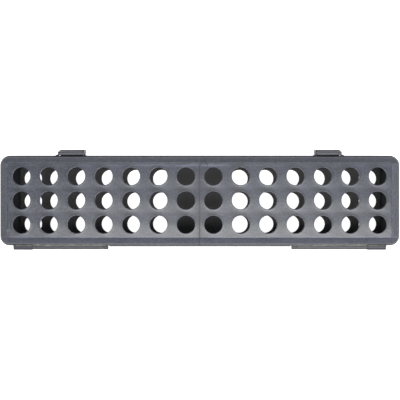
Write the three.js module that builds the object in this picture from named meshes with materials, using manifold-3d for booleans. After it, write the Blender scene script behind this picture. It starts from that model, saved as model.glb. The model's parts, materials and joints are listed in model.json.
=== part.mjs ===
import * as THREE from "three";
import { mergeVertices } from "three/addons/utils/BufferGeometryUtils.js";
import Module from "manifold-3d";

// Test tube rack, in millimetres: X along the rack, +Y towards the latches, Z up.
// The origin is on the bench, under the middle of the tube grid.

const wasm = await Module();
wasm.setup();

// tube grid
const COLUMNS = 14;
const ROWS = 3;
const COLUMN_PITCH = 25.4;
const ROW_PITCH = 22.4;
const TOP_HOLE_R = 8.25;
const LOWER_HOLE_R = 8.6;
const HOLE_SIDES = 20;
const SOLID_COLUMNS = [6, 7];
const CORNER_STEPS = 6;

// heights
const TOP_Z = 64;
const SHOULDER_Z = 59;
const PARTING_Z = 49;
const RISE_Z = 51.5;
const LOWER_DECK_TOP_Z = 8;
const LOWER_DECK_THICK = 2.4;

// clearances
const GAP = 0.3;
const HALF_GAP = GAP / 2;

// small setback where a lug meets a lip
const STEP = 0.15;

// lid
const LID_X = 185.35;
const LID_Y = 40.55;
const LID_CORNER_R = 7;
const PLATEAU_X = 178;
const PLATEAU_Y = 34.7;
const LID_WALL = 2.3;
const LIP_OUT = 1.7;
const LIP_OUT_X = 2.3;
const LIP_THICK = 1.85;

// base
const BASE_TOP_X = 181.65;
const BASE_TOP_Y = 36.85;
const BASE_DRAFT = 1.2;
const BASE_WALL = 2.4;
const BASE_CORNER_R = 6;
const LEDGE_OUT = 1.05;

// hinge
const HINGE_Y = -43.5;
const HINGE_PIN_R = 1;
const KNUCKLE_R = 2.4;
const END_KNUCKLE_R = 2.9;
const KNUCKLE_BORE_R = 1.3;
const HINGE_INNER_X = 86.2;
const INNER_KNUCKLE_LONG = 5.5;
const HINGE_OUTER_X = 175.2;
const OUTER_KNUCKLE_LONG = 17.6;

// latches
const LATCH_X = 121;
const LATCH_HALF = 12.3;
const LATCH_PIN_Y = 44.6;
const LATCH_PIN_Z = 50;
const LATCH_PIN_R = 0.8;
const LATCH_BARREL_R = 1.9;
const LATCH_BORE_R = 1.05;
const EAR_R = 1.7;
const EAR_THICK = 1.1;
const LATCH_PLATE_Y = 44.3;
const LATCH_PLATE_THICK = 1.8;
const LATCH_FOOT_Z = 37.5;
const LATCH_LIP_Y = 48.4;
const CATCH_Z = 41;

function solidOf(geometry) {
  const bare = new THREE.BufferGeometry();
  const flat = geometry.index ? geometry.toNonIndexed() : geometry;
  bare.setAttribute("position", flat.getAttribute("position"));
  const merged = mergeVertices(bare, 1e-4);
  return new wasm.Manifold(
    new wasm.Mesh({
      numProp: 3,
      vertProperties: new Float32Array(merged.attributes.position.array),
      triVerts: new Uint32Array(merged.index.array),
    }),
  );
}

function geometryOf(solid) {
  const made = solid.getMesh();
  const geometry = new THREE.BufferGeometry();
  geometry.setAttribute("position", new THREE.BufferAttribute(new Float32Array(made.vertProperties), 3));
  geometry.setIndex(new THREE.BufferAttribute(new Uint32Array(made.triVerts), 1));
  const shaded = geometry.toNonIndexed();
  shaded.computeVertexNormals();
  return shaded;
}

function box(low, high) {
  const geometry = new THREE.BoxGeometry(high[0] - low[0], high[1] - low[1], high[2] - low[2]);
  geometry.translate((low[0] + high[0]) / 2, (low[1] + high[1]) / 2, (low[2] + high[2]) / 2);
  return solidOf(geometry);
}

// a block with rounded upright edges
function rounded(halfX, halfY, radius, z0, z1) {
  const points = [];
  for (const [sideX, sideY, turn] of [
    [1, 1, 0],
    [-1, 1, 1],
    [-1, -1, 2],
    [1, -1, 3],
  ]) {
    for (let step = 0; step <= CORNER_STEPS; step += 1) {
      const angle = (turn + step / CORNER_STEPS) * (Math.PI / 2);
      const x = sideX * (halfX - radius) + radius * Math.cos(angle);
      const y = sideY * (halfY - radius) + radius * Math.sin(angle);
      points.push([x, y]);
    }
  }
  return alongZ(points, z0, z1);
}

// a profile of [y, z] points drawn along X
function alongX(points, x0, x1) {
  const outline = new THREE.Shape(points.map((p) => new THREE.Vector2(p[0], p[1])));
  const geometry = new THREE.ExtrudeGeometry(outline, { depth: x1 - x0, bevelEnabled: false });
  geometry.applyMatrix4(new THREE.Matrix4().set(0, 0, 1, x0, 1, 0, 0, 0, 0, 1, 0, 0, 0, 0, 0, 1));
  return solidOf(geometry);
}

// a profile of [x, z] points drawn along Y
function alongY(points, y0, y1) {
  const outline = new THREE.Shape(points.map((p) => new THREE.Vector2(p[0], p[1])));
  const geometry = new THREE.ExtrudeGeometry(outline, { depth: y1 - y0, bevelEnabled: false });
  geometry.applyMatrix4(new THREE.Matrix4().set(1, 0, 0, 0, 0, 0, -1, y1, 0, 1, 0, 0, 0, 0, 0, 1));
  return solidOf(geometry);
}

// a profile of [x, y] points drawn along Z
function alongZ(points, z0, z1) {
  const outline = new THREE.Shape(points.map((p) => new THREE.Vector2(p[0], p[1])));
  const geometry = new THREE.ExtrudeGeometry(outline, { depth: z1 - z0, bevelEnabled: false });
  geometry.translate(0, 0, z0);
  return solidOf(geometry);
}

function rod(radius, x0, x1, y, z, sides) {
  const geometry = new THREE.CylinderGeometry(radius, radius, x1 - x0, sides);
  geometry.rotateZ(Math.PI / 2);
  geometry.translate((x0 + x1) / 2, y, z);
  return solidOf(geometry);
}

function post(radius, x, y, z0, z1, sides) {
  const geometry = new THREE.CylinderGeometry(radius, radius, z1 - z0, sides);
  geometry.rotateX(Math.PI / 2);
  geometry.translate(x, y, (z0 + z1) / 2);
  return solidOf(geometry);
}

function holes(solid, radius, z0, z1, skipped) {
  let cut = solid;
  for (let column = 0; column < COLUMNS; column += 1) {
    if (skipped.includes(column)) continue;
    for (let row = 0; row < ROWS; row += 1) {
      const x = (column - (COLUMNS - 1) / 2) * COLUMN_PITCH;
      const y = (row - (ROWS - 1) / 2) * ROW_PITCH;
      cut = cut.subtract(post(radius, x, y, z0, z1, HOLE_SIDES));
    }
  }
  return cut;
}

// a block with rounded corners whose top edges are cut down to the plateau, lowered by the wall
function bevelled(halfX, halfY, radius, z0, z1, dropX, dropY) {
  const fall = TOP_Z - SHOULDER_Z;
  const runX = LID_X - PLATEAU_X;
  const runY = LID_Y - PLATEAU_Y;
  const reach = 12;
  const back = 4;
  let block = rounded(halfX, halfY, radius, z0, z1);
  for (const side of [-1, 1]) {
    const wedgeX = [
      [side * (PLATEAU_X - back), TOP_Z - dropX + (back * fall) / runX],
      [side * (PLATEAU_X + reach), TOP_Z - dropX - (reach * fall) / runX],
      [side * (PLATEAU_X + reach), TOP_Z + reach],
    ];
    const wedgeY = [
      [side * (PLATEAU_Y - back), TOP_Z - dropY + (back * fall) / runY],
      [side * (PLATEAU_Y + reach), TOP_Z - dropY - (reach * fall) / runY],
      [side * (PLATEAU_Y + reach), TOP_Z + reach],
    ];
    block = block.subtract(alongY(wedgeX, -60, 60)).subtract(alongX(wedgeY, -200, 200));
  }
  return block;
}

// a block that widens upwards by the draft of the base walls
function drafted(inset, radius, z0, z1) {
  const widthAt = (top, z) => top - inset - (BASE_DRAFT * (RISE_Z - z)) / RISE_Z;
  const endsX = [
    [-widthAt(BASE_TOP_X, z0), z0],
    [widthAt(BASE_TOP_X, z0), z0],
    [widthAt(BASE_TOP_X, z1), z1],
    [-widthAt(BASE_TOP_X, z1), z1],
  ];
  const endsY = [
    [-widthAt(BASE_TOP_Y, z0), z0],
    [widthAt(BASE_TOP_Y, z0), z0],
    [widthAt(BASE_TOP_Y, z1), z1],
    [-widthAt(BASE_TOP_Y, z1), z1],
  ];
  const corners = rounded(widthAt(BASE_TOP_X, z1), widthAt(BASE_TOP_Y, z1), radius, z0, z1);
  return alongY(endsX, -50, 50).intersect(alongX(endsY, -200, 200)).intersect(corners);
}

// a pair of ends [inner, outer] along X, on the left or the right half
function spanOn(side, inner, outer) {
  return side > 0 ? [inner, outer] : [-outer, -inner];
}

const innerKnuckleEnd = HINGE_INNER_X + INNER_KNUCKLE_LONG;
const outerKnuckleStart = HINGE_OUTER_X - OUTER_KNUCKLE_LONG;
const LIP_CORNER_R = LID_CORNER_R + (LIP_OUT + LIP_OUT_X) / 2;
const baseWallY = (z) => BASE_TOP_Y - (BASE_DRAFT * (RISE_Z - z)) / RISE_Z;

function makeLid() {
  const slantX = Math.hypot(1, (TOP_Z - SHOULDER_Z) / (LID_X - PLATEAU_X));
  const slantY = Math.hypot(1, (TOP_Z - SHOULDER_Z) / (LID_Y - PLATEAU_Y));
  const bottom = PARTING_Z + HALF_GAP;
  const inner = LID_CORNER_R - LID_WALL;
  let lid = bevelled(LID_X, LID_Y, LID_CORNER_R, bottom, TOP_Z, 0, 0);
  lid = lid.add(rounded(LID_X + LIP_OUT_X, LID_Y + LIP_OUT, LIP_CORNER_R, bottom, bottom + LIP_THICK));
  for (const side of [-1, 1]) {
    const [a, b] = spanOn(side, innerKnuckleEnd + GAP, outerKnuckleStart - GAP);
    lid = lid.add(box([a, HINGE_Y, bottom + STEP], [b, HINGE_Y + 3, bottom + LIP_THICK - STEP]));
    lid = lid.add(rod(KNUCKLE_R, a, b, HINGE_Y, PARTING_Z, 20));
  }
  lid = lid.subtract(
    bevelled(
      LID_X - LID_WALL,
      LID_Y - LID_WALL,
      inner,
      PARTING_Z - 1,
      TOP_Z - LID_WALL,
      LID_WALL * slantX,
      LID_WALL * slantY,
    ),
  );
  for (const side of [-1, 1]) {
    const [a, b] = spanOn(side, innerKnuckleEnd + GAP, outerKnuckleStart - GAP);
    lid = lid.subtract(rod(KNUCKLE_BORE_R, a - 1, b + 1, HINGE_Y, PARTING_Z, 20));
    const [c, d] = spanOn(side, HINGE_INNER_X - GAP, innerKnuckleEnd + GAP);
    lid = lid.subtract(rod(KNUCKLE_R + GAP, c, d, HINGE_Y, PARTING_Z, 20));
    const [e, f] = spanOn(side, outerKnuckleStart - GAP, HINGE_OUTER_X + GAP);
    lid = lid.subtract(rod(END_KNUCKLE_R + GAP, e, f, HINGE_Y, PARTING_Z, 20));
    lid = addEars(lid, side * LATCH_X, bottom);
  }
  return holes(lid, TOP_HOLE_R, TOP_Z - 6, TOP_Z + 1, []);
}

function addEars(lid, x, bottom) {
  const root = LID_Y - 1;
  let made = lid;
  for (const side of [-1, 1]) {
    const a = x + side * (LATCH_HALF - EAR_THICK);
    const b = x + side * LATCH_HALF;
    const c = x + side * (LATCH_HALF + 2.2);
    const [low, high] = side > 0 ? [a, b] : [b, a];
    const arm = box([low, root, bottom + STEP], [high, LATCH_PIN_Y, LATCH_PIN_Z + EAR_R]);
    const eye = rod(EAR_R, low, high, LATCH_PIN_Y, LATCH_PIN_Z, 16);
    const gusset = [
      [a, root],
      [c, root],
      [c, LID_Y + LIP_OUT + 0.4],
      [b, LATCH_PIN_Y - 1.1],
      [a, LATCH_PIN_Y - 1.1],
    ];
    const points = side > 0 ? gusset : gusset.reverse();
    made = made.add(arm).add(eye).add(alongZ(points, bottom + 2 * STEP, bottom + LIP_THICK - STEP));
    made = made.subtract(rod(LATCH_PIN_R + 0.2, low - 1, high + 1, LATCH_PIN_Y, LATCH_PIN_Z, 16));
  }
  return made;
}

function makeBase() {
  const top = PARTING_Z - HALF_GAP;
  const lipX = LID_X + LIP_OUT_X;
  const lipY = LID_Y + LIP_OUT;
  const collarX = LID_X - LID_WALL - GAP;
  const collarY = LID_Y - LID_WALL - GAP;
  let base = drafted(0, BASE_CORNER_R, 0, RISE_Z - 1);
  base = base.add(rounded(collarX, collarY, BASE_CORNER_R, top - LIP_THICK + 2 * STEP, RISE_Z));
  base = base.add(rounded(lipX, lipY, LIP_CORNER_R, top - LIP_THICK, top));
  const ledge = HINGE_INNER_X - 2 * GAP;
  base = base.add(
    box([-ledge, -lipY - LEDGE_OUT, top - LIP_THICK + STEP], [ledge, 1 - lipY, top - STEP]),
  );
  for (const side of [-1, 1]) {
    const [a, b] = spanOn(side, innerKnuckleEnd, outerKnuckleStart);
    base = base.subtract(rod(KNUCKLE_R + GAP, a, b, HINGE_Y, PARTING_Z, 20));
    const [c, d] = spanOn(side, HINGE_INNER_X, innerKnuckleEnd);
    base = base.add(rod(KNUCKLE_R, c, d, HINGE_Y, PARTING_Z, 20));
    base = base.add(box([c, HINGE_Y, top - LIP_THICK + STEP], [d, HINGE_Y + 3, top - STEP]));
    const [e, f] = spanOn(side, outerKnuckleStart, HINGE_OUTER_X);
    base = base.add(rod(END_KNUCKLE_R, e, f, HINGE_Y, PARTING_Z, 20));
    base = base.add(box([e, HINGE_Y, top - LIP_THICK + STEP], [f, HINGE_Y + 3, top - STEP]));
    const [g, h] = spanOn(side, HINGE_INNER_X - 1, HINGE_OUTER_X + 1);
    base = base.subtract(rod(HINGE_PIN_R + 0.25, g, h, HINGE_Y, PARTING_Z, 20));
    base = base.add(makeCatch(side * LATCH_X));
  }
  base = base.subtract(drafted(BASE_WALL, BASE_CORNER_R - BASE_WALL, -1, RISE_Z + 1));
  return addPads(base);
}

function makeCatch(x) {
  const wedge = [
    [baseWallY(CATCH_Z) - 1, CATCH_Z],
    [LID_Y + LIP_OUT, CATCH_Z],
    [LID_Y + LIP_OUT, CATCH_Z + 1.4],
    [baseWallY(CATCH_Z) - 1, CATCH_Z + 4.4],
  ];
  return alongX(wedge, x - 9, x + 9);
}

// pads under the lower deck and nibs that hold it down, on the inner faces of the walls
function addPads(base) {
  const deckBottom = LOWER_DECK_TOP_Z - LOWER_DECK_THICK;
  const innerY = baseWallY(deckBottom) - BASE_WALL;
  const innerX = innerY + BASE_TOP_X - BASE_TOP_Y;
  let made = base;
  for (const side of [-1, 1]) {
    for (const step of [-6, -3, 0, 3, 6]) {
      const x = step * COLUMN_PITCH;
      const pad = [
        [side * (innerY + 1), deckBottom - GAP - 3.6],
        [side * (innerY - 1.8), deckBottom - GAP - 1.6],
        [side * (innerY - 1.8), deckBottom - GAP],
        [side * (innerY + 1), deckBottom - GAP],
      ];
      made = made.add(alongX(side > 0 ? pad.reverse() : pad, x - 4, x + 4));
    }
    for (const step of [-4, 4]) {
      const x = step * COLUMN_PITCH;
      const nib = [
        [side * (innerY + 1.2), LOWER_DECK_TOP_Z + GAP],
        [side * (innerY - 0.6), LOWER_DECK_TOP_Z + GAP],
        [side * (innerY + 1.2), LOWER_DECK_TOP_Z + GAP + 2],
      ];
      made = made.add(alongX(side > 0 ? nib.reverse() : nib, x - 3, x + 3));
    }
    const [a, b] = spanOn(side, innerX - 1.8, innerX + 1);
    made = made.add(box([a, -4, deckBottom - GAP - 2.4], [b, 4, deckBottom - GAP]));
  }
  return made;
}

function makeLowerDeck() {
  const deckBottom = LOWER_DECK_TOP_Z - LOWER_DECK_THICK;
  const halfY = baseWallY(deckBottom) - BASE_WALL - GAP;
  const halfX = halfY + BASE_TOP_X - BASE_TOP_Y;
  const plate = rounded(halfX, halfY, BASE_CORNER_R - BASE_WALL, deckBottom, LOWER_DECK_TOP_Z);
  return holes(plate, LOWER_HOLE_R, deckBottom - 1, LOWER_DECK_TOP_Z + 1, SOLID_COLUMNS);
}

function makeLatch(x) {
  const wideTop = LATCH_PIN_Z - LATCH_BARREL_R - 0.5;
  const plateBack = LATCH_PLATE_Y + LATCH_PLATE_THICK;
  const narrow = LATCH_HALF - EAR_THICK - 0.35;
  const outer = LATCH_LIP_Y;
  let latch = rod(LATCH_BARREL_R, x - narrow, x + narrow, LATCH_PIN_Y, LATCH_PIN_Z, 20);
  latch = latch.add(box([x - narrow, LATCH_PLATE_Y, wideTop - 1], [x + narrow, plateBack, LATCH_PIN_Z]));
  latch = latch.add(
    box([x - LATCH_HALF, LATCH_PLATE_Y, LATCH_FOOT_Z], [x + LATCH_HALF, plateBack, wideTop]),
  );
  const nose = [
    [LATCH_PLATE_Y + 0.5, CATCH_Z - 0.7],
    [LID_Y + LIP_OUT + GAP, CATCH_Z - 0.7],
    [LID_Y + LIP_OUT + GAP, CATCH_Z - 1.4],
    [LATCH_PLATE_Y + 0.5, CATCH_Z - 3.4],
  ];
  latch = latch.add(alongX(nose, x - LATCH_HALF + 0.6, x + LATCH_HALF - 0.6));
  const rib = [
    [plateBack - 0.5, LATCH_FOOT_Z],
    [outer, LATCH_FOOT_Z],
    [outer, LATCH_FOOT_Z + 3.4],
    [plateBack - 0.5, wideTop],
  ];
  latch = latch.add(alongX(rib, x - LATCH_HALF, x - LATCH_HALF + 1.2));
  latch = latch.add(alongX(rib, x + LATCH_HALF - 1.2, x + LATCH_HALF));
  const foot = [
    [plateBack - 0.5, LATCH_FOOT_Z],
    [outer, LATCH_FOOT_Z],
    [outer, LATCH_FOOT_Z + 3.4],
    [outer - 1, LATCH_FOOT_Z + 3.4],
    [outer - 1, LATCH_FOOT_Z + 1.4],
    [plateBack - 0.5, LATCH_FOOT_Z + 1.4],
  ];
  latch = latch.add(alongX(foot, x - LATCH_HALF, x + LATCH_HALF));
  return latch.subtract(rod(LATCH_BORE_R, x - 20, x + 20, LATCH_PIN_Y, LATCH_PIN_Z, 20));
}

const group = new THREE.Group();

const plastic = (color) => new THREE.MeshStandardMaterial({ color, roughness: 0.35, metalness: 0 });
const steel = new THREE.MeshStandardMaterial({ color: 0xc5c7c9, roughness: 0.3, metalness: 1 });

function addNode(name, solid, material) {
  const mesh = new THREE.Mesh(geometryOf(solid), material);
  mesh.name = name;
  group.add(mesh);
}

addNode("lid", makeLid(), plastic(0x4f525c));
addNode("base", makeBase(), plastic(0x4e5059));
addNode("lower_deck", makeLowerDeck(), plastic(0x474646));
for (const [name, side] of [
  ["left", -1],
  ["right", 1],
]) {
  const [a, b] = spanOn(side, HINGE_INNER_X + 0.4, HINGE_OUTER_X - 0.4);
  const x = side * LATCH_X;
  addNode(`hinge_pin_${name}`, rod(HINGE_PIN_R, a, b, HINGE_Y, PARTING_Z, 16), steel);
  addNode(`latch_${name}`, makeLatch(x), plastic(0x4e5059));
  const pin = rod(LATCH_PIN_R, x - LATCH_HALF + 0.1, x + LATCH_HALF - 0.1, LATCH_PIN_Y, LATCH_PIN_Z, 16);
  addNode(`latch_pin_${name}`, pin, steel);
}

export default group;
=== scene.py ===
import json
import math

import bmesh
import bpy
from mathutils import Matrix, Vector


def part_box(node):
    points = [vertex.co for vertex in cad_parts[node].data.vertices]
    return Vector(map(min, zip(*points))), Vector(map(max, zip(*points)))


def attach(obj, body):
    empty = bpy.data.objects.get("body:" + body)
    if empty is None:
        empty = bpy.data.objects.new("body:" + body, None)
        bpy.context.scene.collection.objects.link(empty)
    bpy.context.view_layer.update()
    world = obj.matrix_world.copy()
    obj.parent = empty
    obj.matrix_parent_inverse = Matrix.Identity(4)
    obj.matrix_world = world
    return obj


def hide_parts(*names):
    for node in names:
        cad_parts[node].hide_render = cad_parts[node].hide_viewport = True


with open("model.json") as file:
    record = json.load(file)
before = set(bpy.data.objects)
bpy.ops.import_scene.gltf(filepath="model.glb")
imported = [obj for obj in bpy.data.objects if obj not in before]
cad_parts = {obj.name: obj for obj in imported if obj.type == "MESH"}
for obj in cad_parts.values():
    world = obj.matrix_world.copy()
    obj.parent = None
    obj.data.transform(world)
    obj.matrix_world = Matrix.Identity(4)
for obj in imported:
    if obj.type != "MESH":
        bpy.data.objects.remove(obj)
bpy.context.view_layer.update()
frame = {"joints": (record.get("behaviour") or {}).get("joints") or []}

# A test tube rack. Shapes are drawn in millimetres in the part's frame: X along the rack, +Y towards the
# latches, Z up from the bench. MM turns them into metres as each mesh is made.
MM = 0.001
GAP = 0.3

# tube grid
COLUMNS, ROWS = 14, 3
COLUMN_PITCH, ROW_PITCH = 25.4, 22.4
TOP_HOLE_R, LOWER_HOLE_R = 8.25, 8.6
SOLID_COLUMNS = (6, 7)

# lid
TOP_Z, SHOULDER_Z = 64.0, 59.0
LID_X, LID_Y, LID_R = 185.35, 40.55, 7.0
PLATEAU_X, PLATEAU_Y = 178.0, 34.7
LID_WALL, LIP_OUT, LIP_OUT_X, LIP_THICK = 2.3, 1.7, 2.3, 1.85

# base and lower deck
BASE_X, BASE_Y, BASE_R = 181.65, 36.85, 6.0
BASE_DRAFT, BASE_WALL, RISE_Z = 1.2, 2.4, 51.5
DECK_TOP, DECK_BOTTOM = 8.0, 5.6
LEDGE_OUT = 1.05

# hinge and latches: their axes come from the CAD joints
joints = {j["name"]: j for j in frame["joints"]}
HINGE_Y, PARTING_Z = (1000 * v for v in joints["lid_hinge"]["pos_m"][1:])
LATCH_X, LATCH_PIN_Y, LATCH_PIN_Z = (1000 * v for v in joints["latch_right_pivot"]["pos_m"])
KNUCKLE_R, END_KNUCKLE_R, KNUCKLE_BORE_R = 2.4, 2.9, 1.3
HINGE_PIN_R, LATCH_PIN_R = 1.0, 0.8
KNUCKLE_ENDS = (86.2, 91.7, 157.6, 175.2)
LATCH_HALF, EAR_THICK, EAR_R = 12.3, 1.1, 1.7
LATCH_BARREL_R, LATCH_BORE_R = 1.9, 1.05
LATCH_PLATE_Y, LATCH_PLATE_BACK, LATCH_FOOT_Z, LATCH_OUT_Y = 44.3, 46.1, 37.5, 48.4
CATCH_Z = 41.0

# moulded surface of the lid, drawn by bump
ROW_WAVE, CROWN, BOSS, LID_ROUGHNESS = 0.1, 0.5, 0.08, 0.3

# marks on the surface and painted highlights, in metres from the middle of the rack, and the colour of the
# painted seam highlight
SEAM_Y, DECK_FRONT_Y, DECK_REAR_Y = 0.0421, 0.0341, 0.0325
SEAM_HIGHLIGHT = (0.222, 0.217, 0.208, 1)

# camera: straight down, from this far above the deck
CAMERA_ABOVE = 0.84
CAMERA_X, CAMERA_Y = 0.0108, -0.0132
SHIFT_X, SHIFT_Y = -0.0282, 0.0366
WIDTH_SEEN = 0.3703
SENSOR_WIDTH = 36

# strength of the surroundings as a light and as a backdrop
WORLD_LIGHT, WORLD_SEEN = 0.15, 1.05


# ---------------------------------------------------------------- mesh tools


def mesh_object(name, verts, faces):
    mesh = bpy.data.meshes.new(name)
    mesh.from_pydata([Vector(v) * MM for v in verts], [], faces)
    mesh.update()
    made = bpy.data.objects.new(name, mesh)
    bpy.context.scene.collection.objects.link(made)
    return made


def loft(name, rings):
    """A closed solid through rings of points that run the same way round, capped at both ends."""
    count = len(rings[0])
    verts = [p for ring in rings for p in ring]
    faces = []
    for k in range(len(rings) - 1):
        for i in range(count):
            j = (i + 1) % count
            a, b = k * count, (k + 1) * count
            faces.append((a + i, a + j, b + j, b + i))
    faces.append(tuple(reversed(range(count))))
    faces.append(tuple(range((len(rings) - 1) * count, len(rings) * count)))
    made = mesh_object(name, verts, faces)
    outward(made)
    return made


def outward(obj):
    shape = bmesh.new()
    shape.from_mesh(obj.data)
    bmesh.ops.recalc_face_normals(shape, faces=shape.faces)
    shape.to_mesh(obj.data)
    shape.free()


def rounded_ring(half_x, half_y, radius, z, steps=8):
    points = []
    for side_x, side_y, turn in ((1, 1, 0), (-1, 1, 1), (-1, -1, 2), (1, -1, 3)):
        for k in range(steps + 1):
            a = (turn + k / steps) * math.pi / 2
            x = side_x * (half_x - radius) + radius * math.cos(a)
            y = side_y * (half_y - radius) + radius * math.sin(a)
            points.append((x, y, z))
    return points


def round_corners(points, radius, steps=3):
    """A closed [u, v] outline with each corner rounded, by less where its sides are short."""
    made = []
    count = len(points)
    for k in range(count):
        here = Vector(points[k])
        back, ahead = Vector(points[k - 1]) - here, Vector(points[(k + 1) % count]) - here
        reach = min(radius, 0.45 * back.length, 0.45 * ahead.length)
        start, end = here + back.normalized() * reach, here + ahead.normalized() * reach
        for n in range(steps + 1):
            t = n / steps
            made.append(start * (1 - t) ** 2 + here * 2 * t * (1 - t) + end * t**2)
    return made


def inset(points, by):
    middle = sum((Vector(p) for p in points), Vector((0, 0))) / len(points)
    made = []
    for p in points:
        away = Vector(p) - middle
        made.append(middle + away * max(0.0, 1 - by / max(away.length, by)))
    return made


def prism_x(name, outline, x0, x1, soft=0.25, corner=0.3):
    """A [y, z] outline drawn along X, with rounded corners and softened ends."""
    rounded = round_corners(outline, corner) if corner else [Vector(p) for p in outline]
    stations = [(x0, soft), (x0 + 0.3 * soft, 0.3 * soft), (x0 + soft, 0)]
    stations += [(x1 - soft, 0), (x1 - 0.3 * soft, 0.3 * soft), (x1, soft)]
    return loft(name, [[(x, p[0], p[1]) for p in inset(rounded, by)] for x, by in stations])


def rod_x(name, radius, x0, x1, y, z, sides=40, soft=0.25):
    stations = [(x0, soft), (x0 + 0.3 * soft, 0.3 * soft), (x0 + soft, 0)]
    stations += [(x1 - soft, 0), (x1 - 0.3 * soft, 0.3 * soft), (x1, soft)]
    rings = []
    for x, by in stations:
        ring = []
        for k in range(sides):
            a = 2 * math.pi * k / sides
            ring.append((x, y + (radius - by) * math.cos(a), z + (radius - by) * math.sin(a)))
        rings.append(ring)
    return loft(name, rings)


def block(name, low, high, soft=0.25):
    outline = [(low[1], low[2]), (high[1], low[2]), (high[1], high[2]), (low[1], high[2])]
    return prism_x(name, outline, low[0], high[0], soft, soft)


def plate_z(name, outline, z0, z1):
    return loft(name, [[(p[0], p[1], z0) for p in outline], [(p[0], p[1], z1) for p in outline]])


def turned_z(name, profile, x, y, sides=48):
    """A round cutter about an upright axis, from [radius, z] pairs."""
    rings = []
    for radius, z in profile:
        ring = []
        for k in range(sides):
            a = 2 * math.pi * (k + 0.5) / sides
            ring.append((x + radius * math.cos(a), y + radius * math.sin(a), z))
        rings.append(ring)
    return loft(name, rings)


def joined(name, parts):
    """Separate meshes that don't touch, as one mesh."""
    shape = bmesh.new()
    for part in parts:
        shape.from_mesh(part.data)
        bpy.data.objects.remove(part)
    mesh = bpy.data.meshes.new(name)
    shape.to_mesh(mesh)
    shape.free()
    made = bpy.data.objects.new(name, mesh)
    bpy.context.scene.collection.objects.link(made)
    return made


def combine(target, other, operation):
    """target with other added or cut away, both closed meshes; other is used up."""
    modifier = target.modifiers.new("combine", "BOOLEAN")
    modifier.operation = operation
    modifier.solver = "MANIFOLD"
    modifier.object = other
    bpy.context.view_layer.update()
    made = bpy.data.meshes.new_from_object(target.evaluated_get(bpy.context.evaluated_depsgraph_get()))
    target.modifiers.clear()
    target.data = made
    bpy.data.objects.remove(other)


def add(target, *parts):
    for part in parts:
        combine(target, part, "UNION")


def cut(target, *parts):
    for part in parts:
        combine(target, part, "DIFFERENCE")


def shade(obj, angle=32):
    """Smooth shading that breaks at edges sharper than the angle."""
    shape = bmesh.new()
    shape.from_mesh(obj.data)
    bmesh.ops.remove_doubles(shape, verts=shape.verts, dist=2e-7)
    bmesh.ops.dissolve_degenerate(shape, edges=shape.edges, dist=1e-7)
    for face in shape.faces:
        face.smooth = True
    for edge in shape.edges:
        sharp = len(edge.link_faces) != 2 or edge.calc_face_angle(0) > math.radians(angle)
        edge.smooth = not sharp
    shape.to_mesh(obj.data)
    shape.free()
    modifier = obj.modifiers.new("flat_faces", "WEIGHTED_NORMAL")
    modifier.keep_sharp = True
    modifier.weight = 80
    bpy.context.view_layer.update()
    made = bpy.data.meshes.new_from_object(obj.evaluated_get(bpy.context.evaluated_depsgraph_get()))
    obj.modifiers.clear()
    obj.data = made


def spans(inner, outer):
    """The same stretch of X on the left and on the right half."""
    return ((-outer, -inner), (inner, outer))


def hole_cutters(radius, top, bottom, skipped, flare):
    """One cutter per tube hole, flared at both faces of the deck so that the rims come out rounded."""
    below, above = bottom - 3, top + 3
    profile = [(radius + flare, below), (radius + flare, bottom)]
    for k in range(1, 4):
        a = math.pi / 2 * k / 3
        profile.append((radius + flare * (1 - math.sin(a)), bottom + flare * (1 - math.cos(a))))
    for k in range(3, 0, -1):
        a = math.pi / 2 * k / 3
        profile.append((radius + flare * (1 - math.sin(a)), top - flare * (1 - math.cos(a))))
    profile += [(radius + flare, top), (radius + flare, above)]
    cutters = []
    for column in range(COLUMNS):
        if column in skipped:
            continue
        for row in range(ROWS):
            x = (column - (COLUMNS - 1) / 2) * COLUMN_PITCH
            y = (row - (ROWS - 1) / 2) * ROW_PITCH
            cutters.append(turned_z("hole", profile, x, y))
    return joined("holes", cutters)


# ---------------------------------------------------------------- materials


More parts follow.
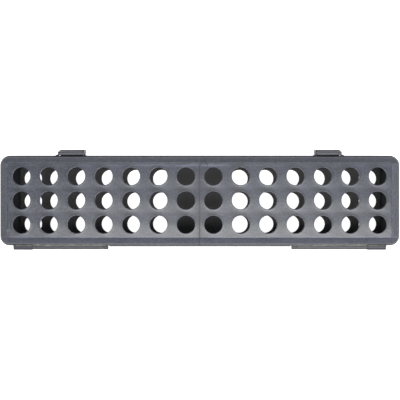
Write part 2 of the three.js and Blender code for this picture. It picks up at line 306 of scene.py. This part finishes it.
class Nodes:
    """A material's node tree with short calls to add and join nodes."""

    def __init__(self, name):
        self.material = bpy.data.materials.new(name)
        self.material.use_nodes = True
        self.tree = self.material.node_tree
        self.shader = self.tree.nodes["Principled BSDF"]

    def add(self, kind, links=(), **values):
        node = self.tree.nodes.new(kind)
        for key, value in values.items():
            setattr(node, key, value)
        for socket, source in dict(links).items():
            if isinstance(source, bpy.types.NodeSocket):
                self.tree.links.new(source, node.inputs[socket])
            else:
                node.inputs[socket].default_value = source
        return node

    def math(self, operation, a, b=0.0, c=0.0):
        return self.add("ShaderNodeMath", {0: a, 1: b, 2: c}, operation=operation).outputs[0]

    def noise(self, vector, scale, detail=3.0, rough=0.55):
        links = {"Vector": vector, "Scale": scale, "Detail": detail, "Roughness": rough}
        return self.add("ShaderNodeTexNoise", links).outputs["Fac"]

    def place(self):
        return self.add("ShaderNodeTexCoord").outputs["Object"]

    def stretched(self, vector, scale):
        return self.add("ShaderNodeMapping", {"Vector": vector, "Scale": scale}).outputs[0]

    def ramp(self, value, low, high):
        links = {"Value": value, "From Min": low, "From Max": high}
        return self.add("ShaderNodeMapRange", links).outputs[0]

    def mix(self, factor, a, b):
        node = self.add("ShaderNodeMix", data_type="RGBA")
        for socket, source in ((node.inputs[0], factor), (node.inputs[6], a), (node.inputs[7], b)):
            if isinstance(source, bpy.types.NodeSocket):
                self.tree.links.new(source, socket)
            else:
                socket.default_value = source
        return node.outputs[2]

    def bump(self, height, strength, distance, normal=None):
        links = {"Height": height, "Strength": strength, "Distance": distance}
        if normal is not None:
            links["Normal"] = normal
        return self.add("ShaderNodeBump", links).outputs[0]

    def from_grid(self, axis, pitch, count, offset=0.0):
        """Signed distance along one axis from the nearest point of the hole grid, moved by an offset."""
        start = 0.5 + 0.5 * (count % 2 == 0) - offset / pitch
        steps = self.math("MULTIPLY_ADD", axis, 1 / (pitch * MM), start)
        return self.math("MULTIPLY_ADD", self.math("FRACT", steps), pitch * MM, -0.5 * pitch * MM)

    def spots(self, axes, at, reach):
        """One soft spot beside every hole: 1 in its middle, 0 from its edge outwards."""
        along = self.from_grid(axes[0], COLUMN_PITCH, COLUMNS, at[0])
        across = self.from_grid(axes[1], ROW_PITCH, ROWS, at[1])
        scaled = (self.math("DIVIDE", v, r * MM) for v, r in zip((along, across), reach))
        squares = [self.math("POWER", v, 2.0) for v in scaled]
        return self.ramp(self.math("SQRT", self.math("ADD", *squares)), 1.0, 0.2)

    def seam_light_and_shade(self, base, color, place, axes):
        """A broken painted highlight along the seam between the lip and the hinge knuckles, on upward faces
        only, and painted shade on the outer side of the knuckles.
        """
        normal = self.add("ShaderNodeTexCoord").outputs["Normal"]
        up = self.ramp(self.add("ShaderNodeSeparateXYZ", {0: normal}).outputs[2], 0.35, 0.7)
        along = self.math("ABSOLUTE", axes[0])
        span = self.math("MULTIPLY", self.ramp(along, 0.0855, 0.088), self.ramp(along, 0.1755, 0.173))
        seam = self.ramp(self.math("ABSOLUTE", self.math("ADD", axes[1], SEAM_Y)), 0.001, 0.0004)
        seam = self.math("MULTIPLY", self.math("MULTIPLY", seam, up), span)
        flecks = self.ramp(self.noise(self.stretched(place, (150.0, 900.0, 900.0)), 1.0, 3.0), 0.4, 0.65)
        # painted shade: the outer side of the hinge knuckles is painted darker
        knuckle_shade = self.math("MULTIPLY", self.ramp(axes[1], -0.0426, -0.0431), 0.5)
        base = self.mix(knuckle_shade, base, shifted(color, 0.5))
        # painted highlight: a pale line along the seam on upward faces, broken into flecks
        painted_seam_light = self.math("MULTIPLY", seam, self.math("MULTIPLY_ADD", flecks, 0.7, 0.3))
        return self.mix(painted_seam_light, base, SEAM_HIGHLIGHT)

    def out(self, socket, source):
        self.tree.links.new(source, self.shader.inputs[socket])


def shifted(color, by):
    return tuple(min(1.0, c * by) for c in color) + (1.0,)


def plastic(name, color, rough=0.42, specular=0.4, shade_within_x=0.0, shade_within_y=0.0):
    """Moulded plastic: mottled colour, faint flow streaks, a fine orange-peel skin and uneven gloss.

    Within the given distances of the middle along X and Y, on the inner faces of walls, it is left rough and
    painted darker as shade."""
    n = Nodes(name)
    place = n.place()
    mottle = n.noise(place, 38.0, 4.0)
    streak = n.noise(n.stretched(place, (14.0, 95.0, 40.0)), 1.0, 5.0)
    grain = n.noise(place, 900.0, 2.0)
    base = n.mix(n.ramp(mottle, 0.3, 0.7), shifted(color, 0.9), shifted(color, 1.1))
    base = n.mix(n.math("MULTIPLY", n.ramp(streak, 0.55, 0.75), 0.35), base, shifted(color, 1.3))
    gloss = n.math("MULTIPLY_ADD", streak, 0.16, rough - 0.08)
    if shade_within_x:
        axes = n.add("ShaderNodeSeparateXYZ", {0: place}).outputs
        base = n.seam_light_and_shade(base, color, place, axes)
        near_x = n.math("LESS_THAN", n.math("ABSOLUTE", axes[0]), shade_within_x * MM)
        near_y = n.math("LESS_THAN", n.math("ABSOLUTE", axes[1]), shade_within_y * MM)
        inner_wall_shade = n.math("MULTIPLY", near_x, near_y)
        gloss = n.math("MULTIPLY_ADD", inner_wall_shade, 0.6, gloss)
        # painted shade: the inner faces of the walls are painted much darker
        base = n.mix(n.math("MULTIPLY", inner_wall_shade, 0.75), base, shifted(color, 0.15))
    n.out("Base Color", base)
    n.out("Roughness", gloss)
    skin = n.bump(grain, 0.25, 0.00006)
    n.out("Normal", n.bump(mottle, 0.35, 0.0006, skin))
    n.shader.inputs["Specular IOR Level"].default_value = specular
    return n.material


def steel(name, color):
    """Drawn steel wire: fine marks along X and small changes of gloss."""
    n = Nodes(name)
    place = n.place()
    marks = n.noise(n.stretched(place, (60.0, 4200.0, 4200.0)), 1.0, 2.0)
    patch = n.noise(place, 220.0)
    n.out("Base Color", n.mix(patch, shifted(color, 0.85), shifted(color, 1.1)))
    n.out("Roughness", n.math("MULTIPLY_ADD", marks, 0.18, 0.22))
    n.out("Normal", n.bump(marks, 0.3, 0.00002))
    n.shader.inputs["Metallic"].default_value = 1.0
    return n.material


def lid_plastic(name, color):
    """The lid's plastic: its deck is very slightly crowned and rises and falls with the rows of holes."""
    n = Nodes(name)
    place = n.place()
    axes = n.add("ShaderNodeSeparateXYZ", {0: place}).outputs
    mottle = n.noise(place, 38.0, 4.0)
    streak = n.noise(n.stretched(place, (22.0, 80.0, 40.0)), 1.0, 5.0)
    grain = n.noise(place, 900.0, 2.0)
    # the deck is the flat top face, found by its height
    deck = n.ramp(axes[2], (TOP_Z - 0.3) * MM, (TOP_Z - 0.1) * MM)
    base = n.mix(n.ramp(mottle, 0.3, 0.7), shifted(color, 0.86), shifted(color, 1.14))
    base = n.mix(n.math("MULTIPLY", n.ramp(streak, 0.5, 0.75), 0.3), base, shifted(color, 1.25))
    # fine speckle, pale and dark
    speck = n.noise(place, 560.0, 2.0)
    base = n.mix(n.math("MULTIPLY", n.ramp(speck, 0.5, 0.75), 0.6), base, shifted(color, 1.8))
    base = n.mix(n.math("MULTIPLY", n.ramp(speck, 0.5, 0.25), 0.6), base, shifted(color, 0.45))
    # painted sheen and shade: each hole has a pale painted sheen in front of it and to the right, and a
    # painted shade behind it and to the left
    hole_sheen = n.spots(axes, (5.5, -9.9), (8.0, 2.8))
    hole_sheen = n.math("MULTIPLY", hole_sheen, n.math("LESS_THAN", axes[1], 0.03))
    hole_shade = n.spots(axes, (-4.5, 9.9), (9.5, 3.0))
    hole_shade = n.math("MULTIPLY", hole_shade, n.math("GREATER_THAN", axes[1], -0.03))
    base = n.mix(n.math("MULTIPLY", hole_sheen, deck), base, shifted(color, 1.5))
    base = n.mix(n.math("MULTIPLY", n.math("MULTIPLY", hole_shade, deck), 0.8), base, shifted(color, 0.55))
    # and a broken painted highlight follows the rear edge of the deck, strongest near the middle
    rear = n.ramp(n.math("ABSOLUTE", n.math("SUBTRACT", axes[1], DECK_REAR_Y)), 0.0022, 0.0004)
    middle = n.ramp(n.math("ABSOLUTE", n.math("ADD", axes[0], 0.008)), 0.085, 0.02)
    wisps = n.ramp(n.noise(n.stretched(place, (55.0, 190.0, 40.0)), 1.0, 4.0), 0.42, 0.62)
    rear_edge_highlight = n.math("MULTIPLY", rear, n.math("MULTIPLY_ADD", n.math("MULTIPLY", middle, wisps), 0.85, 0.15))
    base = n.mix(rear_edge_highlight, base, shifted(color, 2.4))
    # a painted highlight runs along the front edge of the deck
    front_edge_highlight = n.ramp(n.math("ABSOLUTE", n.math("ADD", axes[1], DECK_FRONT_Y)), 0.0014, 0.0003)
    front_edge_highlight = n.math("MULTIPLY", front_edge_highlight, n.math("MULTIPLY_ADD", wisps, 0.4, 0.25))
    base = n.mix(front_edge_highlight, base, shifted(color, 2.2))
    # the knit line runs straight across the middle in a dark band and bends aside near the rear edge
    bend = n.math("MAXIMUM", n.math("SUBTRACT", axes[1], DECK_REAR_Y), 0.0)
    beside = n.math("SUBTRACT", n.math("ADD", axes[0], 0.0001), bend)
    knit = n.ramp(n.math("ABSOLUTE", beside), 0.0011, 0.0002)
    band = n.math("MULTIPLY", n.ramp(n.math("ABSOLUTE", beside), 0.007, 0.0005), deck)
    # a second, shorter line meets the bend
    slope = n.math("MULTIPLY_ADD", axes[1], -0.4, 0.0201)
    branch = n.ramp(n.math("ABSOLUTE", n.math("SUBTRACT", axes[0], slope)), 0.0011, 0.0003)
    branch = n.math("MULTIPLY", branch, n.ramp(axes[1], 0.0295, 0.033))
    base = n.mix(n.math("MULTIPLY", band, 0.4), base, shifted(color, 0.5))
    base = n.mix(n.math("MULTIPLY", n.math("MAXIMUM", knit, branch), 0.7), base, shifted(color, 0.4))
    # the lip is rougher than the deck and is painted darker as shade below the lid's wall
    low = n.ramp(axes[2], 0.0516, 0.0512)
    base = n.mix(n.math("MULTIPLY", low, 0.6), base, shifted(color, 0.5))
    base = n.seam_light_and_shade(base, color, place, axes)
    n.out("Base Color", base)
    gloss = n.math("MULTIPLY_ADD", streak, 0.1, LID_ROUGHNESS - 0.05)
    gloss = n.math("MULTIPLY_ADD", low, 0.2, gloss)
    n.out("Roughness", n.math("MULTIPLY_ADD", knit, 0.25, gloss))
    # heights in metres
    row_turn = n.math("MULTIPLY", axes[1], 2 * math.pi / (ROW_PITCH * MM))
    rows = n.math("MULTIPLY", n.math("COSINE", row_turn), ROW_WAVE * MM)
    crown = n.math("MULTIPLY", n.math("POWER", n.math("DIVIDE", axes[1], PLATEAU_Y * MM), 2.0), -CROWN * MM)
    # a low boss round every hole
    along = n.from_grid(axes[0], COLUMN_PITCH, COLUMNS)
    across = n.from_grid(axes[1], ROW_PITCH, ROWS)
    away = n.math("SQRT", n.math("ADD", *(n.math("POWER", v, 2.0) for v in (along, across))))
    boss = n.math("MULTIPLY", n.ramp(away, (TOP_HOLE_R + 2) * MM, (TOP_HOLE_R + 0.8) * MM), BOSS * MM)
    shape = n.math("MULTIPLY", n.math("ADD", n.math("ADD", rows, crown), boss), deck)
    skin = n.bump(grain, 0.4, 0.00012)
    rolled = n.bump(shape, 1.0, 1.0, skin)
    n.out("Normal", n.bump(mottle, 0.3, 0.0005, rolled))
    return n.material


def floor_material():
    n = Nodes("floor_white")
    n.shader.inputs["Base Color"].default_value = (0.5, 0.5, 0.5, 1)
    n.shader.inputs["Roughness"].default_value = 1.0
    n.shader.inputs["Emission Color"].default_value = (1, 1, 1, 1)
    n.shader.inputs["Emission Strength"].default_value = 1.0
    return n.material


colors = {
    "lid_plastic": (0.046, 0.051, 0.071),
    "base_plastic": (0.046, 0.05, 0.068),
    "deck_plastic": (0.061, 0.0595, 0.067),
    "latch_plastic": (0.075, 0.081, 0.102),
    "pin_steel": (0.56, 0.57, 0.58),
}


def finish_piece(obj, body, nodes, material):
    shade(obj)
    obj.data.materials.clear()
    obj.data.materials.append(material)
    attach(obj, body)
    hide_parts(*nodes)


# ---------------------------------------------------------------- the lid


def lid_shell(name, wall, bottom):
    """The lid's outer form, or its hollow when wall is its thickness."""
    slant_x = wall * math.hypot(1, (TOP_Z - SHOULDER_Z) / (LID_X - PLATEAU_X))
    slant_y = wall * math.hypot(1, (TOP_Z - SHOULDER_Z) / (LID_Y - PLATEAU_Y))
    drop = (slant_x + slant_y) / 2
    radius = LID_R - wall
    flat_x = PLATEAU_X + (wall - drop) * (LID_X - PLATEAU_X) / (TOP_Z - SHOULDER_Z)
    flat_y = PLATEAU_Y + (wall - drop) * (LID_Y - PLATEAU_Y) / (TOP_Z - SHOULDER_Z)
    side_x, side_y = LID_X - wall, LID_Y - wall
    shoulder = TOP_Z - drop - (side_x - PLATEAU_X) * (TOP_Z - SHOULDER_Z) / (LID_X - PLATEAU_X)
    top = TOP_Z - wall
    rings = [(side_x, side_y, radius, bottom), (side_x, side_y, radius, shoulder - 0.9)]
    rings.append((side_x - 0.12, side_y - 0.12, radius, shoulder - 0.35))
    rings.append((side_x - 0.55, side_y - 0.5, radius - 0.3, shoulder + 0.25))
    rings.append((flat_x + 1.0, flat_y + 0.8, 1.4, top - 0.68))
    rings.append((flat_x + 0.5, flat_y + 0.39, 1.2, top - 0.38))
    rings.append((flat_x, flat_y - 0.05, 1.0, top - 0.17))
    rings.append((flat_x - 0.5, flat_y - 0.51, 0.8, top - 0.04))
    rings.append((flat_x - 1.0, flat_y - 1.0, 0.6, top))
    return loft(name, [rounded_ring(*ring) for ring in rings])


def lip(name, bottom, thick):
    half_x, half_y = LID_X + LIP_OUT_X, LID_Y + LIP_OUT
    radius = LID_R + (LIP_OUT + LIP_OUT_X) / 2
    rings = []
    edge = ((0.35, 0.0), (0.1, 0.1), (0.0, 0.35), (0.0, thick - 0.5), (0.15, thick - 0.15), (0.5, thick))
    for out, up in edge:
        rings.append(rounded_ring(half_x - out, half_y - out, radius - out, bottom + up))
    return loft(name, rings)


def ear(x, side, bottom):
    a, b, c = (x + side * v for v in (LATCH_HALF - EAR_THICK, LATCH_HALF, LATCH_HALF + 2.2))
    low, high = sorted((a, b))
    root = LID_Y - 1
    arm = block("arm", (low, root, bottom + 0.15), (high, LATCH_PIN_Y, LATCH_PIN_Z + EAR_R - 0.02), 0.2)
    eye = rod_x("eye", EAR_R, low, high, LATCH_PIN_Y, LATCH_PIN_Z, soft=0.2)
    tip = LATCH_PIN_Y - 1.1
    outline = [(a, root), (c, root), (c, LID_Y + LIP_OUT + 0.4), (b, tip), (a, tip)]
    outline = outline if side > 0 else outline[::-1]
    gusset = plate_z("gusset", outline, bottom + 0.3, bottom + LIP_THICK - 0.15)
    return arm, eye, gusset


def make_lid():
    bottom = PARTING_Z + GAP / 2
    lid = lid_shell("lid_shell", 0, bottom)
    add(lid, lip("lip", bottom, LIP_THICK))
    k0, k1, k2, k3 = KNUCKLE_ENDS
    low, high = bottom + 0.15, bottom + LIP_THICK - 0.15
    for x0, x1 in spans(k1 + GAP, k2 - GAP):
        add(lid, block("web", (x0, HINGE_Y, low), (x1, HINGE_Y + 3, high), 0.1))
        add(lid, rod_x("knuckle", KNUCKLE_R, x0, x1, HINGE_Y, PARTING_Z))
    cut(lid, lid_shell("hollow", LID_WALL, PARTING_Z - 2))
    for x0, x1 in spans(k1, k2):
        cut(lid, rod_x("bore", KNUCKLE_BORE_R, x0 - 1, x1 + 1, HINGE_Y, PARTING_Z))
    for x0, x1 in spans(k0 - GAP, k1 + GAP):
        cut(lid, rod_x("relief", KNUCKLE_R + GAP, x0, x1, HINGE_Y, PARTING_Z, soft=0.02))
    for x0, x1 in spans(k2 - GAP, k3 + GAP):
        cut(lid, rod_x("relief", END_KNUCKLE_R + GAP, x0, x1, HINGE_Y, PARTING_Z, soft=0.02))
    for x in (-LATCH_X, LATCH_X):
        for side in (-1, 1):
            add(lid, *ear(x, side, bottom))
        cut(lid, rod_x("eye_bore", LATCH_PIN_R + 0.2, x - 14, x + 14, LATCH_PIN_Y, LATCH_PIN_Z, 24))
    cut(lid, hole_cutters(TOP_HOLE_R, TOP_Z, TOP_Z - LID_WALL, (), 0.55))
    lid.name = "lid_moulding"
    finish_piece(lid, "lid", ["lid"], lid_plastic("lid_grey", colors["lid_plastic"]))


# ---------------------------------------------------------------- the base and lower deck


def wall_half(top, z):
    return top - BASE_DRAFT * (RISE_Z - z) / RISE_Z


def make_catch(x):
    back, tip = wall_half(BASE_Y, CATCH_Z) - 1, LID_Y + LIP_OUT
    outline = [(back, CATCH_Z), (tip, CATCH_Z), (tip, CATCH_Z + 1.4), (back, CATCH_Z + 4.4)]
    return prism_x("catch", outline, x - 9, x + 9, 0.3, 0.35)


def pads_and_nibs():
    """Pads that the lower deck rests on, and nibs that hold it down."""
    inner_y = wall_half(BASE_Y, DECK_BOTTOM) - BASE_WALL
    inner_x = wall_half(BASE_X, DECK_BOTTOM) - BASE_WALL
    under = DECK_BOTTOM - GAP
    made = []
    for side in (-1, 1):
        for step in (-6, -3, 0, 3, 6):
            x = step * COLUMN_PITCH
            outline = [(inner_y + 1, under - 3.6), (inner_y - 1.8, under - 1.6)]
            outline += [(inner_y - 1.8, under), (inner_y + 1, under)]
            made.append(prism_x("pad", [(side * y, z) for y, z in outline], x - 4, x + 4, 0.2, 0.2))
        for step in (-4, 4):
            x = step * COLUMN_PITCH
            outline = [(inner_y + 1.2, DECK_TOP + GAP), (inner_y - 0.6, DECK_TOP + GAP)]
            outline.append((inner_y + 1.2, DECK_TOP + GAP + 2))
            made.append(prism_x("nib", [(side * y, z) for y, z in outline], x - 3, x + 3, 0.2, 0.15))
        low, high = sorted((side * (inner_x - 1.8), side * (inner_x + 1)))
        made.append(block("end_pad", (low, -4, under - 2.4), (high, 4, under), 0.2))
    return made


def make_base():
    top = PARTING_Z - GAP / 2
    rings = []
    for z, out in ((0, 0.4), (0.12, 0.12), (0.4, 0), (RISE_Z - 1, 0)):
        rings.append(rounded_ring(wall_half(BASE_X, z) - out, wall_half(BASE_Y, z) - out, BASE_R - out, z))
    base = loft("base_shell", rings)
    half_x, half_y = LID_X - LID_WALL - GAP, LID_Y - LID_WALL - GAP
    rings = []
    for z, out in ((top - 1.5, 0), (RISE_Z - 0.4, 0), (RISE_Z - 0.1, 0.12), (RISE_Z, 0.4)):
        rings.append(rounded_ring(half_x - out, half_y - out, BASE_R - out, z))
    add(base, loft("collar", rings), lip("rim", top - LIP_THICK, LIP_THICK))
    k0, k1, k2, k3 = KNUCKLE_ENDS
    ledge_x, ledge_y = k0 - 2 * GAP, -LID_Y - LIP_OUT
    low, high = top - LIP_THICK + 0.15, top - 0.15
    add(base, block("ledge", (-ledge_x, ledge_y - LEDGE_OUT, low), (ledge_x, ledge_y + 1, high), 0.25))
    for x0, x1 in spans(k1, k2):
        cut(base, rod_x("relief", KNUCKLE_R + GAP, x0, x1, HINGE_Y, PARTING_Z, soft=0.02))
    for inner, outer, radius in ((k0, k1, KNUCKLE_R), (k2, k3, END_KNUCKLE_R)):
        for x0, x1 in spans(inner, outer):
            add(base, block("web", (x0, HINGE_Y, low), (x1, HINGE_Y + 3, high), 0.1))
            add(base, rod_x("knuckle", radius, x0, x1, HINGE_Y, PARTING_Z))
    for x0, x1 in spans(k0 - 1, k3 + 1):
        cut(base, rod_x("bore", HINGE_PIN_R + 0.25, x0, x1, HINGE_Y, PARTING_Z))
    add(base, make_catch(-LATCH_X), make_catch(LATCH_X))
    rings = []
    for z in (-1, RISE_Z + 1):
        half_x, half_y = wall_half(BASE_X, z) - BASE_WALL, wall_half(BASE_Y, z) - BASE_WALL
        rings.append(rounded_ring(half_x, half_y, BASE_R - BASE_WALL, z))
    cut(base, loft("hollow", rings))
    add(base, *pads_and_nibs())
    base.name = "base_moulding"
    inner_x, inner_y = BASE_X - BASE_WALL + 0.1, BASE_Y - BASE_WALL + 0.1
    material = plastic("base_grey", colors["base_plastic"], 0.42, 0.3, inner_x, inner_y)
    finish_piece(base, "base", ["base"], material)


def make_lower_deck():
    half_y = wall_half(BASE_Y, DECK_BOTTOM) - BASE_WALL - GAP
    half_x = wall_half(BASE_X, DECK_BOTTOM) - BASE_WALL - GAP
    rings = []
    for z, out in ((DECK_BOTTOM, 0.3), (DECK_BOTTOM + 0.3, 0), (DECK_TOP - 0.3, 0), (DECK_TOP, 0.3)):
        rings.append(rounded_ring(half_x - out, half_y - out, BASE_R - BASE_WALL, z))
    deck = loft("lower_deck_plate", rings)
    cut(deck, hole_cutters(LOWER_HOLE_R, DECK_TOP, DECK_BOTTOM, SOLID_COLUMNS, 0.45))
    material = plastic("deck_grey", colors["deck_plastic"], 0.55, 0.25)
    finish_piece(deck, "base", ["lower_deck"], material)


# ---------------------------------------------------------------- latches and pins


def make_latch(side_name, side):
    x = side * LATCH_X
    plate_y, plate_back, foot_z, out_y = LATCH_PLATE_Y, LATCH_PLATE_BACK, LATCH_FOOT_Z, LATCH_OUT_Y
    wide_top = LATCH_PIN_Z - 2.4
    narrow = LATCH_HALF - EAR_THICK - 0.35
    latch = rod_x("latch", LATCH_BARREL_R, x - narrow, x + narrow, LATCH_PIN_Y, LATCH_PIN_Z)
    # a flat on the barrel, on the side of the lip
    top = LATCH_PIN_Z + LATCH_BARREL_R
    flat = [(LATCH_PIN_Y + 0.3, top - 1), (LATCH_PIN_Y + 0.3, top)]
    flat += [(LATCH_PIN_Y - 1.65, top - 0.3), (LATCH_PIN_Y - 1.85, top - 1)]
    add(latch, prism_x("flat", flat, x - narrow, x + narrow, 0.1, 0.15))
    add(latch, block("neck", (x - narrow, plate_y, wide_top - 1), (x + narrow, plate_back, LATCH_PIN_Z), 0.2))
    add(latch, block("plate", (x - LATCH_HALF, plate_y, foot_z), (x + LATCH_HALF, plate_back, wide_top), 0.3))
    nose_y = LID_Y + LIP_OUT + GAP
    nose = [(plate_y + 0.5, CATCH_Z - 0.7), (nose_y, CATCH_Z - 0.7)]
    nose += [(nose_y, CATCH_Z - 1.4), (plate_y + 0.5, CATCH_Z - 3.4)]
    add(latch, prism_x("nose", nose, x - LATCH_HALF + 0.6, x + LATCH_HALF - 0.6, 0.2, 0.2))
    rib = [(plate_back - 0.5, foot_z), (out_y, foot_z), (out_y, foot_z + 3.4), (plate_back - 0.5, wide_top)]
    for x0, x1 in ((x - LATCH_HALF, x - LATCH_HALF + 1.2), (x + LATCH_HALF - 1.2, x + LATCH_HALF)):
        add(latch, prism_x("rib", rib, x0, x1, 0.2, 0.3))
    foot = [(plate_back - 0.5, foot_z), (out_y, foot_z), (out_y, foot_z + 3.4), (out_y - 1, foot_z + 3.4)]
    foot += [(out_y - 1, foot_z + 1.4), (plate_back - 0.5, foot_z + 1.4)]
    add(latch, prism_x("foot", foot, x - LATCH_HALF, x + LATCH_HALF, 0.2, 0.25))
    cut(latch, rod_x("bore", LATCH_BORE_R, x - 20, x + 20, LATCH_PIN_Y, LATCH_PIN_Z, 24))
    latch.name = f"latch_{side_name}_moulding"
    material = plastic(f"latch_{side_name}_grey", colors["latch_plastic"], 0.38)
    finish_piece(latch, f"latch_{side_name}", [f"latch_{side_name}"], material)


def make_pin(node, body, radius):
    low, high = (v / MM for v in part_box(node))
    y, z = (low[1] + high[1]) / 2, (low[2] + high[2]) / 2
    pin = rod_x(f"{node}_wire", radius, low[0], high[0], y, z, 32, 0.2)
    finish_piece(pin, body, [node], pin_steel)


make_lid()
make_base()
make_lower_deck()
pin_steel = steel("pin_steel", colors["pin_steel"])
for side_name, side in (("left", -1), ("right", 1)):
    make_latch(side_name, side)
    make_pin(f"hinge_pin_{side_name}", "base", HINGE_PIN_R)
    make_pin(f"latch_pin_{side_name}", "lid", LATCH_PIN_R)


# ---------------------------------------------------------------- studio


def make_floor():
    size = 4000
    corners = [(-size, -size, 0), (size, -size, 0), (size, size, 0), (-size, size, 0)]
    floor = mesh_object("floor", corners, [(0, 1, 2, 3)])
    floor.data.materials.append(floor_material())


def area_light(name, place, tilt, size_x, size_y, power, color=(1, 1, 1)):
    """A soft light facing down, tilted about X by some degrees."""
    data = bpy.data.lights.new(name, "AREA")
    data.shape = "RECTANGLE"
    data.size, data.size_y = size_x, size_y
    data.energy = power
    data.color = color
    light = bpy.data.objects.new(name, data)
    bpy.context.scene.collection.objects.link(light)
    light.location = place
    light.rotation_euler = (math.radians(tilt), 0, 0)


def side_light(name, x, power):
    """A low light beside the rack, facing it."""
    area_light(name, (x, 0, 0.5), 0, 0.5, 0.7, power)
    light = bpy.context.scene.objects[name]
    light.rotation_euler = (0, math.copysign(math.radians(70), x), 0)


def make_camera():
    data = bpy.data.cameras.new("camera")
    data.sensor_width = SENSOR_WIDTH
    data.lens = data.sensor_width * CAMERA_ABOVE / WIDTH_SEEN
    data.shift_x, data.shift_y = SHIFT_X, SHIFT_Y
    camera = bpy.data.objects.new("camera", data)
    bpy.context.scene.collection.objects.link(camera)
    camera.location = (CAMERA_X, CAMERA_Y, TOP_Z * MM + CAMERA_ABOVE)
    bpy.context.scene.camera = camera


def make_world():
    world = bpy.data.worlds.new("studio")
    world.use_nodes = True
    tree = world.node_tree
    background = tree.nodes["Background"]
    background.inputs["Color"].default_value = (0.95, 0.97, 1.0, 1)
    # dim as a light, white as a backdrop
    seen = tree.nodes.new("ShaderNodeLightPath").outputs["Is Camera Ray"]
    strength = tree.nodes.new("ShaderNodeMapRange")
    tree.links.new(seen, strength.inputs["Value"])
    strength.inputs["To Min"].default_value = WORLD_LIGHT
    strength.inputs["To Max"].default_value = WORLD_SEEN
    tree.links.new(strength.outputs[0], background.inputs["Strength"])
    bpy.context.scene.world = world


make_floor()
area_light("softbox", (0.14, -0.55, 1.06), 0, 1.0, 0.9, 21.5, (1, 0.98, 0.91))
area_light("overhead", (0.02, 0.03, 1.35), 0, 0.85, 0.85, 3.2, (0.97, 0.98, 1))
area_light("fill", (0, 1.2, 0.55), -65, 1.2, 0.5, 4)
side_light("left", -1.3, 2.5)
side_light("right", 1.3, 3.5)
make_camera()
make_world()
bpy.context.scene.view_settings.view_transform = "Standard"
